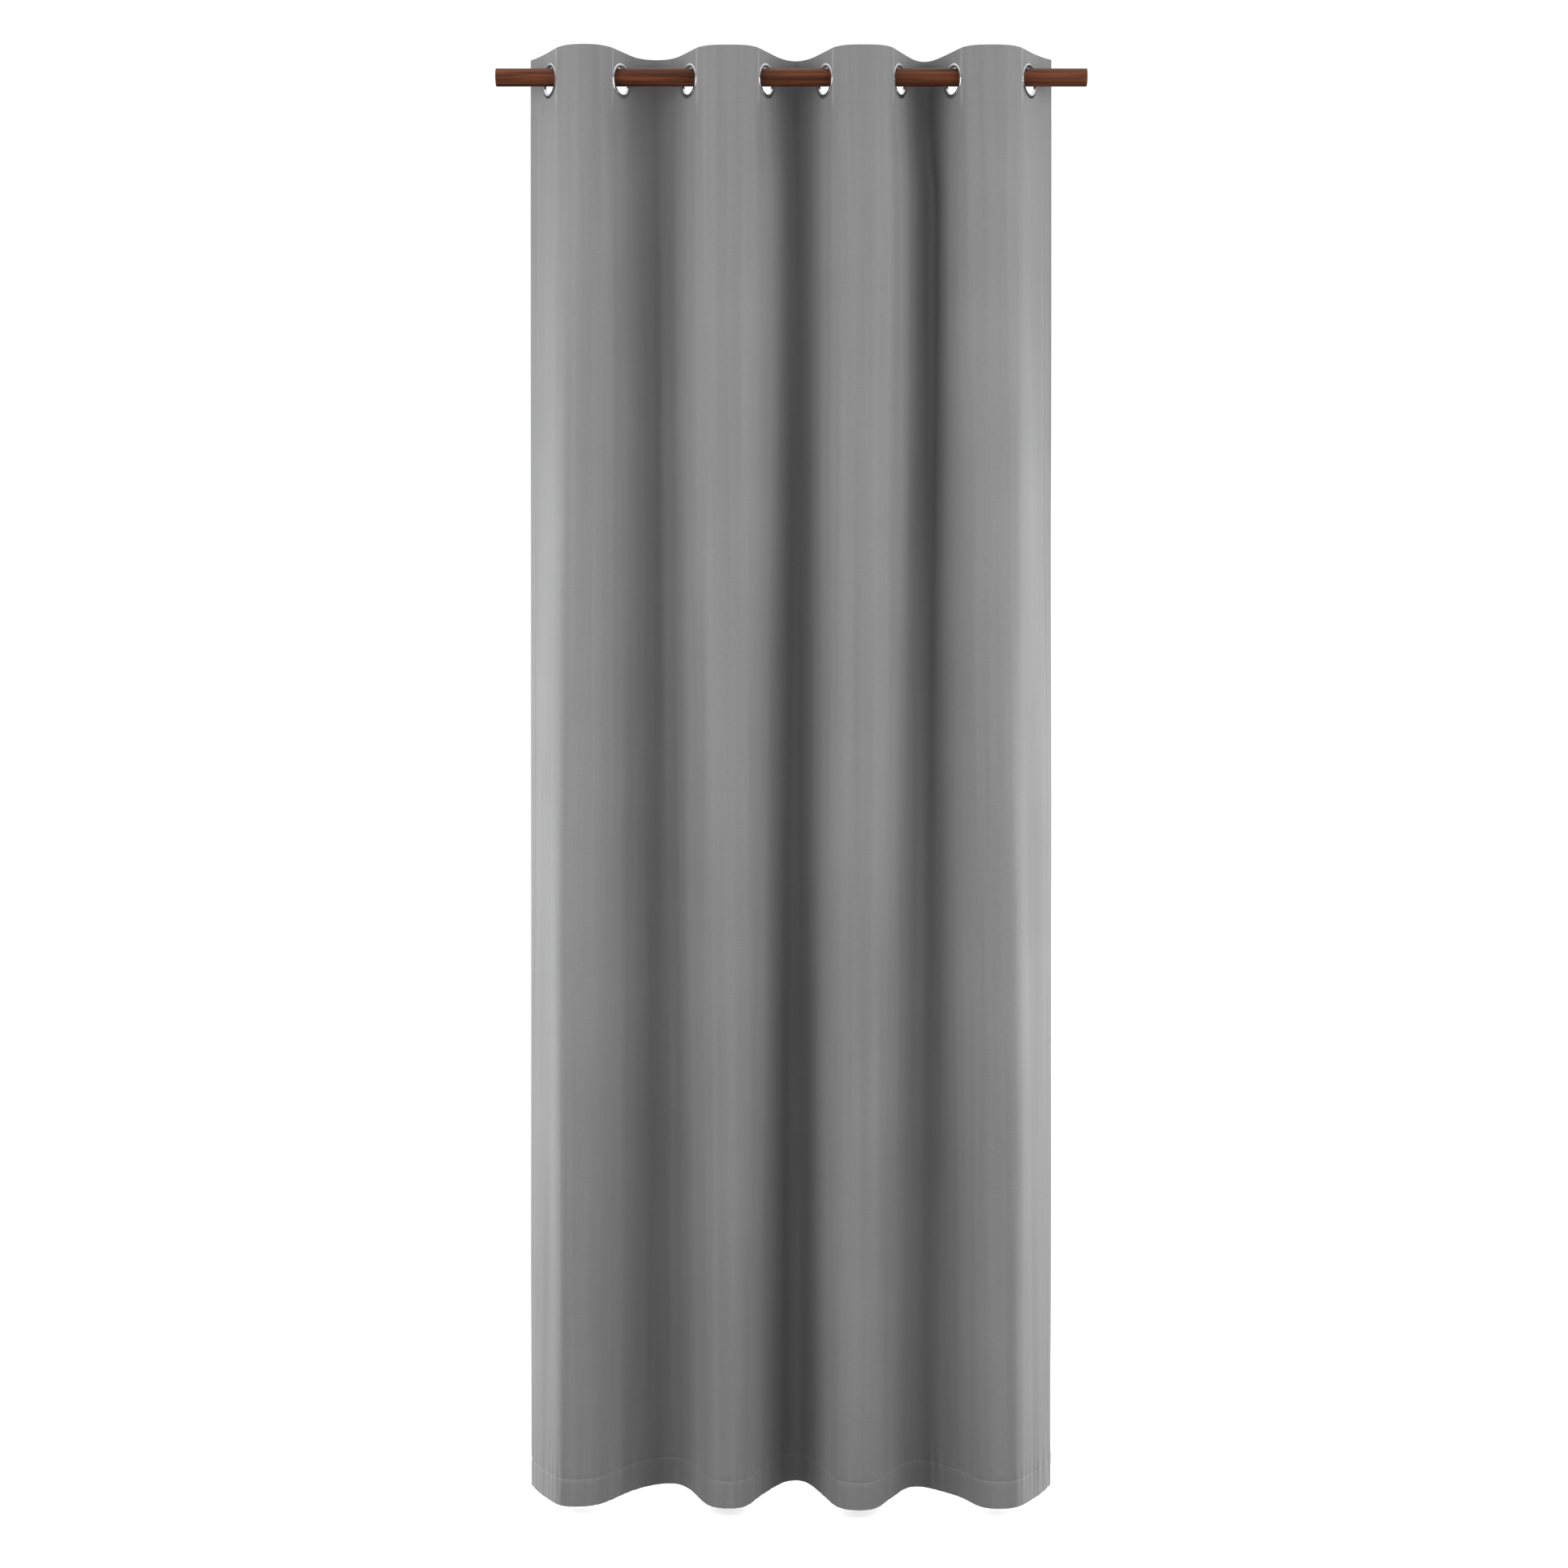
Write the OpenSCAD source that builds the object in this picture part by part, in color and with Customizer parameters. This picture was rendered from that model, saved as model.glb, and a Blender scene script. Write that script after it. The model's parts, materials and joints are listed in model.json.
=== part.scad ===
// Fabric room curtain panel: an eyelet-top panel hanging in eight pleats on a round wooden rod.
// Millimetres, +Z up. The origin is the middle of the rod's axis; +X runs along the rod and
// the room side of the curtain faces -Y.

/* [Panel] */
// Width of the panel laid flat, side hem to side hem
panel_w = 1400; // [900:10:2200]
// Finished height of the panel, top fold to bottom hem
panel_h = 2450; // [1200:10:2800]
// Thickness of the face cloth
cloth_t = 0.8; // [0.5:0.1:1.2]
// Width of cloth beyond the middle of the first and last eyelets
flap_len = 70; // [60:1:90]

/* [Heading and hems] */
// Height of the stiffened heading band
heading_h = 100; // [80:5:150]
// Distance from the top fold down to the middle of the eyelets
eyelet_drop = 50; // [40:1:60]
// Thickness of the stiffener tape inside the heading
tape_t = 0.6; // [0.4:0.1:1]
// Height of the bottom hem
hem_h = 45; // [25:1:120]
// Width of the two side hems
side_hem_w = 20; // [12:1:28]

/* [Pleats as they hang] */
// Width the first wave spans along the rod, per cent of the flat cloth between two eyelets
span_1 = 66.5; // [50:0.5:75]
// Width the second wave spans, per cent
span_2 = 64.5; // [50:0.5:75]
// Width the third wave spans, per cent
span_3 = 72; // [50:0.5:75]
// Width the fourth wave spans, per cent
span_4 = 56; // [50:0.5:75]
// Width the fifth wave spans, per cent
span_5 = 69.5; // [50:0.5:75]
// Width the sixth wave spans, per cent
span_6 = 51; // [50:0.5:75]
// Width the seventh wave spans, per cent
span_7 = 71; // [50:0.5:75]
// Mean angle between the rod and the cloth at an eyelet, degrees
turn = 62.5; // [56:0.5:68]
// Degrees an eyelet turns back for each per cent that its two waves are wider than the mean
turn_ease = 0.5; // [0:0.1:0.7]
// How much the left side flap curls, degrees
flap_curl_l = 15; // [5:1:40]
// How much the right side flap curls, degrees
flap_curl_r = 25; // [5:1:40]
// Open slit where two pleats meet at a fold, so they can turn
fold_slit = 2; // [1.6:0.1:4]

/* [Eyelets] */
// How much wider the hole through an eyelet is than the rod
eyelet_play = 15; // [12:0.5:18]
// Gap over the rod, under the top of the eyelet's hole
ring_gap = 1.5; // [1:0.1:3]
// Width of the front ring, from its hole to its rim
ring_band = 6.5; // [5:0.5:8]
// Width of the back ring, from the hole to its rim
back_ring_band = 5.5; // [4:0.5:8]
// Height of the front ring above the cloth
ring_rise = 1.9; // [1.2:0.1:3]
// Height of the back ring above the cloth
back_ring_rise = 1.4; // [1:0.1:2]

/* [Rod] */
// Rod diameter
rod_d = 30; // [20:1:35]
// Rod length
rod_l = 1000; // [900:10:2000]
// How far the row of eyelets sits to the right of the rod's middle
row_shift = -3; // [-60:1:60]

/* [Hidden] */
$fn = 96;

count = 8;
pitch = (panel_w - 2 * flap_len) / (count - 1);
spans = [span_1, span_2, span_3, span_4, span_5, span_6, span_7];
gap = [for (s = spans) pitch * s / 100];
mean_span = (span_1 + span_2 + span_3 + span_4 + span_5 + span_6 + span_7) / (count - 1);
// total of the first k gaps
function run(k) = k <= 0 ? 0 : gap[k - 1] + run(k - 1);
eyelet_x = [for (i = [0 : count - 1]) row_shift - run(count - 1) / 2 + run(i)];
eyelet_bore = rod_d + eyelet_play;
eyelet_z = ring_gap - eyelet_play / 2;
top_z = eyelet_z + eyelet_drop;
bottom_z = top_z - panel_h;

// mean span of the waves on the two sides of eyelet i, and the angle the cloth takes there
function near_span(i) = (spans[max(i - 1, 0)] + spans[min(i, count - 2)]) / 2;
angle = [for (i = [0 : count - 1]) turn - turn_ease * (near_span(i) - mean_span)];
function rad(t) = t * PI / 180;
// a half wave is a straight run from the eyelet and then an arc; these two shares set its length
function straight_share(t) = 1 - rad(t) / tan(t);
function arc_share(t) = rad(t) / sin(t);
function extra(t) = arc_share(t) - straight_share(t);
function rise(t) = straight_share(t) / tan(t / 2);
// depth of each wave in front of or behind the rod, from the cloth length it has to take up
depth = [for (k = [0 : count - 2])
  (pitch - gap[k] / 2 * (extra(angle[k]) + extra(angle[k + 1]))) / (rise(angle[k]) + rise(angle[k + 1]))];
// straight run and arc radius on the left and right of each eyelet
flap_run = 30;
function flap_radius(curl) = (flap_len - flap_run) / rad(curl);
run_l = [for (i = [0 : count - 1])
  i == 0 ? flap_run : depth[i - 1] / tan(angle[i] / 2) - gap[i - 1] / 2];
run_r = [for (i = [0 : count - 1])
  i == count - 1 ? flap_run : depth[i] / tan(angle[i] / 2) - gap[i] / 2];
rad_l = [for (i = [0 : count - 1])
  i == 0 ? flap_radius(flap_curl_l) : (gap[i - 1] / 2 - run_l[i] * cos(angle[i])) / sin(angle[i])];
rad_r = [for (i = [0 : count - 1])
  i == count - 1 ? flap_radius(flap_curl_r) : (gap[i] / 2 - run_r[i] * cos(angle[i])) / sin(angle[i])];
// where pleat i ends on its left and right, measured along the cloth from its eyelet
function end_l(i) = i == 0 ? -flap_len : fold_slit / 2 - run_l[i] - rad(angle[i]) * rad_l[i];
function end_r(i) = i == count - 1 ? flap_len : run_r[i] + rad(angle[i]) * rad_r[i] - fold_slit / 2;

// layers of the heading, measured from its middle towards the back of the cloth
pocket = tape_t + 0.2;
face_in = -pocket / 2;
face_out = face_in - cloth_t;
lining_in = pocket / 2;
lining_out = lining_in + cloth_t;
hem_back = face_in + cloth_t;
// straight stretches that stand in for each arc of the cloth
arc_steps = 8;

bore_r = eyelet_bore / 2;
neck_r = bore_r + 1.2;
hole_r = neck_r + 0.3;
ring_r = bore_r + ring_band;
back_ring_r = bore_r + back_ring_band;
// the rings are dished, so that they clear the cloth where it starts to curve: lift is how far the
// cloth rises at radius r, when it is straight for a first stretch and then turns in an arc
function lift(r, straight, arc) = straight < r ? pow(r - straight, 2) / (2 * arc) : 0;
function most_lift(r) = max([for (i = [0 : count - 1])
  max(lift(r, run_l[i], rad_l[i]), lift(r, run_r[i], rad_r[i]))]);
neck_gap = most_lift(neck_r + 2);
rim_gap = most_lift(ring_r) + 0.15;
stitch_h = 5;

grey = [0.46, 0.46, 0.47];
steel = [0.78, 0.79, 0.8];
wood = [0.4, 0.22, 0.14];
buckram = [0.9, 0.9, 0.86];

// point of pleat i at distance u along the cloth from its eyelet and v behind the heading's middle,
// for a pleat whose right side runs to the back; each arc is a chain of arc_steps straight stretches
function spot(i, u, v) =
  let (step = angle[i] / arc_steps)
  u > run_r[i] ? arc_spot(run_r[i], rad_r[i], (u - run_r[i]) / rad(step) / rad_r[i], step, v)
  : u < -run_l[i] ? -arc_spot(run_l[i], rad_l[i], (-u - run_l[i]) / rad(step) / rad_l[i], step, -v)
  : [u, v];
function arc_spot(start, r, steps, step, v) =
  let (whole = floor(steps), part = steps - whole)
  (1 - part) * arc_corner(start, r, whole * step, v) + part * arc_corner(start, r, (whole + 1) * step, v);
function arc_corner(start, r, a, v) = [start + (r + v) * sin(a), (r + v) * cos(a) - r];

// places along the cloth where the outline of a strip of pleat i has a corner
function corners(i, u0, u1) = let (all = [
  for (k = [arc_steps : -1 : 0]) -run_l[i] - rad_l[i] * rad(angle[i]) * k / arc_steps,
  for (k = [0 : arc_steps]) run_r[i] + rad_r[i] * rad(angle[i]) * k / arc_steps
]) [u0, for (u = all) if (u > u0 + 0.2 && u < u1 - 0.2) u, u1];

// plan of a strip of pleat i, in place: even pleats run to the back, odd pleats to the front
module strip(i, u0, u1, v0, v1) {
  to_back = i % 2 == 1;
  side = to_back ? 1 : -1;
  stations = corners(i, u0, u1);
  near = [for (u = stations) spot(i, u, side * v0)];
  far = [for (k = [len(stations) - 1 : -1 : 0]) spot(i, stations[k], side * v1)];
  translate([eyelet_x[i], 0])
    rotate(side * angle[i])
      mirror([0, to_back ? 0 : 1])
        polygon(concat(near, far));
}

module band(z0, z1) {
  translate([0, 0, z0])
    linear_extrude(z1 - z0)
      children();
}

// stands an upright part at eyelet i, with +Z of the part towards the back of the cloth
module at_eyelet(i) {
  translate([eyelet_x[i], 0, eyelet_z])
    rotate(i % 2 == 1 ? angle[i] : -angle[i])
      rotate([-90, 0, 0])
        children();
}

// one pleat of cloth: face, heading lining folded over the top, bottom hem, and a side hem at an end
module pleat(i) {
  first = i == 0;
  last = i == count - 1;
  hem_top = bottom_z + hem_h;
  heading_z = top_z - heading_h;
  pocket_l = end_l(i) + (first ? side_hem_w : -1);
  pocket_r = end_r(i) - (last ? side_hem_w : -1);
  color(grey)
    difference() {
      union() {
        band(bottom_z, hem_top)
          strip(i, end_l(i), end_r(i), face_out, hem_back);
        band(hem_top, heading_z)
          strip(i, end_l(i), end_r(i), face_out, face_in);
        if (first)
          band(hem_top, heading_z)
            strip(i, end_l(i), end_l(i) + side_hem_w, face_out, hem_back);
        if (last)
          band(hem_top, heading_z)
            strip(i, end_r(i) - side_hem_w, end_r(i), face_out, hem_back);
        band(heading_z, top_z)
          strip(i, end_l(i), end_r(i), face_out, lining_out);
      }
      band(heading_z + stitch_h, top_z - cloth_t)
        strip(i, pocket_l, pocket_r, face_in, lining_in);
      at_eyelet(i)
        cylinder(h = 20, r = hole_r, center = true);
    }
}

// stiffener tape sealed in the heading pocket, with its own eyelet hole
module tape(i) {
  ease_l = (i == 0 ? side_hem_w : 0) + 3;
  ease_r = (i == count - 1 ? side_hem_w : 0) + 3;
  color(buckram)
    difference() {
      band(top_z - heading_h + stitch_h + 1, top_z - cloth_t - 1)
        strip(i, end_l(i) + ease_l, end_r(i) - ease_r, -tape_t / 2, tape_t / 2);
      at_eyelet(i)
        cylinder(h = 20, r = hole_r + 0.3, center = true);
    }
}

// domed flange of a ring, drawn as a half section: x is the radius, y is the height over the cloth
module flange(r_in, r_out, high) {
  mid = (r_in + r_out) / 2;
  bulge = 2 * (r_out - mid);
  difference() {
    intersection() {
      translate([r_in, 0])
        square([r_out - r_in, high]);
      translate([mid, high - bulge])
        circle(r = bulge);
    }
    polygon([[neck_r, -1], [neck_r, neck_gap], [r_out, rim_gap], [r_out + 1, rim_gap], [r_out + 1, -1]]);
  }
}

// front ring: flange on the room side and the neck that goes through the heading
module ring(i) {
  color(steel)
    at_eyelet(i) {
      translate([0, 0, face_out])
        mirror([0, 0, 1])
          rotate_extrude()
            flange(bore_r, ring_r, ring_rise);
      translate([0, 0, face_out])
        difference() {
          cylinder(h = lining_out - face_out + back_ring_rise * 0.6, r = neck_r);
          translate([0, 0, -1])
            cylinder(h = 20, r = bore_r);
        }
    }
}

// back ring: washer clipped over the neck behind the heading
module back_ring(i) {
  color(steel)
    at_eyelet(i)
      translate([0, 0, lining_out])
        rotate_extrude()
          flange(neck_r, back_ring_r, back_ring_rise);
}

module rod() {
  color(wood)
    rotate([0, 90, 0])
      cylinder(h = rod_l, d = rod_d, center = true);
}

rod();
for (i = [0 : count - 1]) {
  pleat(i);
  tape(i);
  ring(i);
  back_ring(i);
}
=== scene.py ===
"""Eyelet curtain panel: the hung cloth, its heading tape and sewing, the eyelets and the rod."""

import json
import math

import bmesh
import bpy
import numpy as np
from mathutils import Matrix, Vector


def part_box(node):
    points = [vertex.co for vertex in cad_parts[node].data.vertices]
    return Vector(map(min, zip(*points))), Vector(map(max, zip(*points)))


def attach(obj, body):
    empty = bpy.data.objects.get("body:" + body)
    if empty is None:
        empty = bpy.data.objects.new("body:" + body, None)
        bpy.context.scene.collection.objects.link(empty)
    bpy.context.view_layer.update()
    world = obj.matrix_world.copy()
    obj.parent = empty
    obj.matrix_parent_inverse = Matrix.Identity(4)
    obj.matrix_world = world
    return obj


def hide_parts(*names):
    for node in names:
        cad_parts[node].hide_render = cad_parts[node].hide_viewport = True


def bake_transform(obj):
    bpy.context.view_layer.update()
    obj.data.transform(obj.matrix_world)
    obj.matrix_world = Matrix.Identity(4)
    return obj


bl_info = {
    "name": "Eyelet Curtain Panel",
    "version": (1, 0, 0),
    "blender": (4, 5, 0),
    "location": "3D View > Sidebar > Curtain",
    "description": "Builds an eyelet curtain panel, with sewn cloth and metal eyelets, on a stained rod",
    "category": "Object",
}

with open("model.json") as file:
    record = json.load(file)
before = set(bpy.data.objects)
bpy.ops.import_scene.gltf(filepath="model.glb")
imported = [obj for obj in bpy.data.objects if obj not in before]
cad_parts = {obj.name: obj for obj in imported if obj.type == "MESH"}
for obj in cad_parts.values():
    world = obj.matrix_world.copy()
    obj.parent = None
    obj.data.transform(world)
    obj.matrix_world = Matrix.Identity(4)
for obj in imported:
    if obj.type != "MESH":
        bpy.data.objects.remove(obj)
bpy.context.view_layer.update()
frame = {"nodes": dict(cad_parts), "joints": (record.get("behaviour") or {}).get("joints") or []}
EYELETS = 8
GAPS = EYELETS - 1
FRONT, BACK = -1, 1


# ---------------------------------------------------------------- sizes and colours


class ClothSizes(bpy.types.PropertyGroup):
    """How the cloth was cut and sewn, and how it falls"""

    flat_width: bpy.props.FloatProperty(
        name="Flat width", description="Width of the panel laid flat", default=1.4, unit="LENGTH"
    )
    flap: bpy.props.FloatProperty(
        name="Flap", description="Cloth beyond the first and last eyelets", default=0.07, unit="LENGTH"
    )
    heading: bpy.props.FloatProperty(
        name="Heading", description="Height of the stiffened heading", default=0.1, unit="LENGTH"
    )
    hem: bpy.props.FloatProperty(
        name="Bottom hem", description="Height of the bottom hem", default=0.045, unit="LENGTH"
    )
    side_hem: bpy.props.FloatProperty(
        name="Side hem", description="Width of the side hems", default=0.02, unit="LENGTH"
    )
    thickness: bpy.props.FloatProperty(
        name="Thickness", description="Thickness of one layer of cloth", default=0.0008, unit="LENGTH"
    )
    plate: bpy.props.FloatProperty(
        name="Flat at an eyelet",
        description="Cloth held flat on each side of an eyelet's middle",
        default=0.030,
        unit="LENGTH",
    )
    crease: bpy.props.FloatProperty(
        name="Heading crease",
        description="How sharply the heading bends at the room side of an eyelet",
        default=math.radians(14),
        unit="ROTATION",
    )
    stitch: bpy.props.FloatProperty(
        name="Stitch length", description="Length of one machine stitch", default=0.0038, unit="LENGTH"
    )
    thread: bpy.props.FloatProperty(
        name="Thread", description="Thickness of the sewing thread", default=0.0004, unit="LENGTH"
    )
    ripple: bpy.props.FloatProperty(
        name="Hem ripple",
        description="Depth of the small puckers that the hem stitching draws in the cloth",
        default=0.0016,
        unit="LENGTH",
    )
    wander: bpy.props.FloatProperty(
        name="Wander",
        description="How far the folds stray from straight as they fall",
        default=0.0022,
        unit="LENGTH",
    )


class Finishes(bpy.types.PropertyGroup):
    """Colours of the cloth, the tape, the metal and the wood"""

    cloth: bpy.props.FloatVectorProperty(
        name="Cloth",
        description="Colour of the satin cloth",
        subtype="COLOR",
        default=(0.2, 0.2, 0.203),
    )
    tape: bpy.props.FloatVectorProperty(
        name="Tape",
        description="Colour of the heading tape",
        subtype="COLOR",
        default=(0.72, 0.71, 0.67),
    )
    metal: bpy.props.FloatVectorProperty(
        name="Metal",
        description="Colour of the plated eyelets",
        subtype="COLOR",
        default=(0.74, 0.75, 0.77),
    )
    wood_dark: bpy.props.FloatVectorProperty(
        name="Dark grain",
        description="Dark streaks of the stain",
        subtype="COLOR",
        default=(0.048, 0.013, 0.005),
    )
    wood_light: bpy.props.FloatVectorProperty(
        name="Light grain",
        description="Light streaks of the stain",
        subtype="COLOR",
        default=(0.165, 0.048, 0.018),
    )


class Studio(bpy.types.PropertyGroup):
    """Camera and light"""

    distance: bpy.props.FloatProperty(
        name="Camera distance", description="From the camera to the rod", default=4.104, unit="LENGTH"
    )
    eye_drop: bpy.props.FloatProperty(
        name="Eye level", description="How far the camera is below the rod", default=1.051, unit="LENGTH"
    )
    lens: bpy.props.FloatProperty(
        name="Lens", description="Focal length in millimetres on a 36 mm sensor", default=55.58
    )
    sky: bpy.props.FloatProperty(
        name="Room light", description="Strength of the soft light from all round", default=0.9
    )
    shade: bpy.props.FloatProperty(
        name="Room shade", description="Share of that light that comes from straight in front", default=0.6
    )
    front_light: bpy.props.FloatProperty(
        name="Front lights",
        description="Power of each light to the side and in front, in watts",
        default=52.0,
    )
    rim_light: bpy.props.FloatProperty(
        name="Rim lights",
        description="Power of each light to the side and behind, in watts",
        default=24.0,
    )


# ---------------------------------------------------------------- what the frame says


def joint_place(name):
    """(x, y) of a joint's axis."""
    return next(j["pos_m"][:2] for j in frame["joints"] if j["name"] == name)


def fold_places():
    """(x, y) of the crest between each pair of eyelets."""
    return [joint_place(f"fold_{k}") for k in range(1, GAPS + 1)]


def eyelet_places():
    """Where each eyelet is along the rod, and the angle between the cloth there and the rod. Each
    crest is midway between its eyelets."""
    along = [joint_place("gather")[0]]
    for x, _ in fold_places():
        along.append(2 * x - along[-1])
    angles = []
    for k in range(1, EYELETS + 1):
        spots = np.array([v.co for v in frame["nodes"][f"ring_{k}"].data.vertices], float)
        axis = np.linalg.svd(spots - spots.mean(0), full_matrices=False)[2][2]
        angles.append(math.acos(min(1.0, abs(axis[1]))))
    return list(zip(along, angles))


def eyelet_size():
    """Radius of the cut in the cloth, which the flange covers, and height of the eyelets' middle."""
    low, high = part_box("ring_1")
    middle = (low.z + high.z) / 2
    spots = np.array([v.co for v in frame["nodes"]["back_ring_1"].data.vertices], float)
    away = np.linalg.norm(spots - (spots.max(0) + spots.min(0)) / 2, axis=1)
    return (away.min() + away.max()) / 2, middle


# ---------------------------------------------------------------- how the cloth falls

# What the folds do between the heading and the floor, from left to right, in metres or degrees:
# how far the cloth below each eyelet strays along the rod, and the angle it takes at the hem
STRAY_AT_HEM = (-0.009, -0.005, 0.015, -0.011, -0.002, -0.011, 0.007, 0.012)
ANGLE_AT_HEM = (58, 56, 67, 66, 72, 64, 53, 56)
# where each crest ends up at the hem, along the rod from its place in the heading, and its depth
CREST_STRAY_AT_HEM = (-0.016, 0.022, 0.004, 0.0, -0.006, -0.012, 0.012)
CREST_DEPTH_AT_HEM = (0.053, 0.068, 0.062, 0.084, 0.069, 0.050, 0.063)
# how far each curve runs on straight, as a share of its span: from the eyelet, and into the crest.
# The folds on the room side are broad domes, and those behind the rod are tighter
RUN = {FRONT: (0.40, 0.44), BACK: (0.56, 0.22)}
# how far each eyelet's line and each crest sway along the rod on the way down, most just below the
# heading
LINE_SWAY = (0.0, 0.005, -0.004, 0.007, 0.0, 0.007, 0.0, 0.0)
CREST_SWAY = (0.0, 0.005, 0.0, 0.003, 0.0, 0.013, 0.0)
# depth of the curves in the heading, as a share of a round one's: the stiff heading makes broad, flat
# domes on the room side and deeper curves behind the rod
DOME_SHARE = {FRONT: 0.81, BACK: 0.90}
# the cloth loses the heading's stiffness over this distance, and then lies flat this far from a line
# below an eyelet
SOFTENS_OVER, SOFT_PLATE = 0.16, 0.008
# a side flap's straight reach, as a share of its length, and how far it runs on from its eyelet
FLAP_REACH, FLAP_RUN = 0.985, 0.6
# how far above the hem its puckers reach, and how deep and wide the groove of its stitching is
PUCKERS_REACH, GROOVE_DEPTH, GROOVE_WIDTH = 0.022, 0.0006, 0.0025
# half the tape's thickness, as a share of the cloth's, so that it fits in the pocket
TAPE_SHARE = 0.37


def ease(x):
    x = np.clip(x, 0.0, 1.0)
    return x * x * (3 - 2 * x)


def mix(a, b, k):
    return a + (b - a) * k


def half_wave(start, angle, flat, crease, crest, side, steps=26):
    """Plan of the cloth from an eyelet's line to a crest at every level: flat at the eyelet, bent by
    the crease, and then one curve that is level at the crest. side is FRONT or BACK; crest lies to
    the right of start. Returns an array of levels x steps x 2."""
    way = np.stack([np.cos(angle), side * np.sin(angle)], -1)
    turned = angle - crease
    bent = np.stack([np.cos(turned), side * np.sin(turned)], -1)
    corner = start + way * flat[:, None]
    span = np.linalg.norm(crest - corner, axis=-1)[:, None]
    a, b = corner + bent * span * RUN[side][0], crest - np.array([1.0, 0.0]) * span * RUN[side][1]
    t = np.linspace(0, 1, steps)[None, :, None]
    curve = (
        corner[:, None] * (1 - t) ** 3
        + 3 * a[:, None] * t * (1 - t) ** 2
        + 3 * b[:, None] * t**2 * (1 - t)
        + crest[:, None] * t**3
    )
    lead = start[:, None] + (corner - start)[:, None] * np.linspace(0, 1, 7)[None, :-1, None]
    return np.concatenate([lead, curve], 1)


def lengths(curves):
    return np.linalg.norm(np.diff(curves, axis=1), axis=-1)


def whole_wave(left, right, crest, side, flat, crease):
    """Plan of the cloth between two eyelets at every level. left and right are (place, angle)."""
    rising = half_wave(left[0], left[1], flat, crease, crest, side)
    flip = np.array([-1.0, 1.0])
    falling = half_wave(right[0] * flip, right[1], flat, crease, crest * flip, side) * flip
    return np.concatenate([rising, falling[:, -2::-1]], 1)


def spaced(curves, stops):
    """Points at the given shares of each curve's length."""
    steps = lengths(curves)
    along = np.concatenate([np.zeros((len(steps), 1)), np.cumsum(steps, 1)], 1)
    along /= along[:, -1:]
    return np.stack(
        [
            np.stack([np.interp(stops, at, curve[:, axis]) for axis in (0, 1)], -1)
            for at, curve in zip(along, curves)
        ]
    )


def gap_stops(plate_share):
    """Shares of a wave's length where the cloth has a column: close together beside the eyelets."""
    near = np.concatenate([np.linspace(0, 0.9, 10), (0.95, 1.0, 1.05)]) * plate_share
    far = np.linspace(1.12 * plate_share, 1 - 1.12 * plate_share, 34)
    return np.concatenate([near, far, 1 - near[::-1]])


def levels_of(sizes, drop, eyelet):
    """Distances down from the top edge where the cloth has a row."""
    edge = [0.0, 0.0004, 0.0012, 0.003]
    ring = np.arange(-0.03, 0.0301, 0.0025) + eyelet
    heading = np.arange(0.006, sizes.heading - 0.004, 0.005)
    seam = sizes.heading + np.array([-0.0042, -0.0025, -0.001, 0.0, 0.001, 0.003])
    body = np.linspace(sizes.heading + 0.006, drop - sizes.hem - 0.06, 120)
    above = drop - sizes.hem - np.linspace(0.052, 0.006, 10)
    hem = np.array([-0.003, -0.001, 0.0, 0.001, 0.0025, 0.006, 0.012, 0.02, 0.028, 0.036])
    hem = drop - sizes.hem + hem
    foot = drop - np.array([0.003, 0.0012, 0.0004, 0.0])
    heading = heading[np.abs(heading - eyelet) > 0.0315]
    return np.unique(np.round(np.concatenate([edge, ring, heading, seam, body, above, hem, foot]), 6))


def flap_curve(start, angle, end_x, length, side):
    """Plan of a side flap at every level: from its eyelet back to the side hem. side is -1 on the left."""
    reach = np.abs(end_x - start[:, 0])
    back = np.sqrt(np.maximum((FLAP_REACH * length) ** 2 - reach**2, 1e-6))
    end = np.stack([end_x, back], -1)
    way = np.stack([side * np.cos(angle), np.sin(angle)], -1)
    handle = start + way * FLAP_RUN * length
    t = np.linspace(0, 1, 24)[None, :, None]
    return start[:, None] * (1 - t) ** 2 + 2 * handle[:, None] * t * (1 - t) + end[:, None] * t**2


def flap_stops(sizes):
    """Shares of a flap's length, from its eyelet, where the cloth has a column."""
    hem = np.array([-0.003, -0.001, 0.0, 0.001, 0.004, 0.010, 0.015]) + sizes.side_hem
    edge = np.array([0.0, 0.0004, 0.0012, 0.003, 0.008, 0.013])
    near = np.linspace(sizes.flap - sizes.plate, sizes.flap, 11)
    return 1 - np.concatenate([edge, hem, near])[::-1] / sizes.flap


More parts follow.
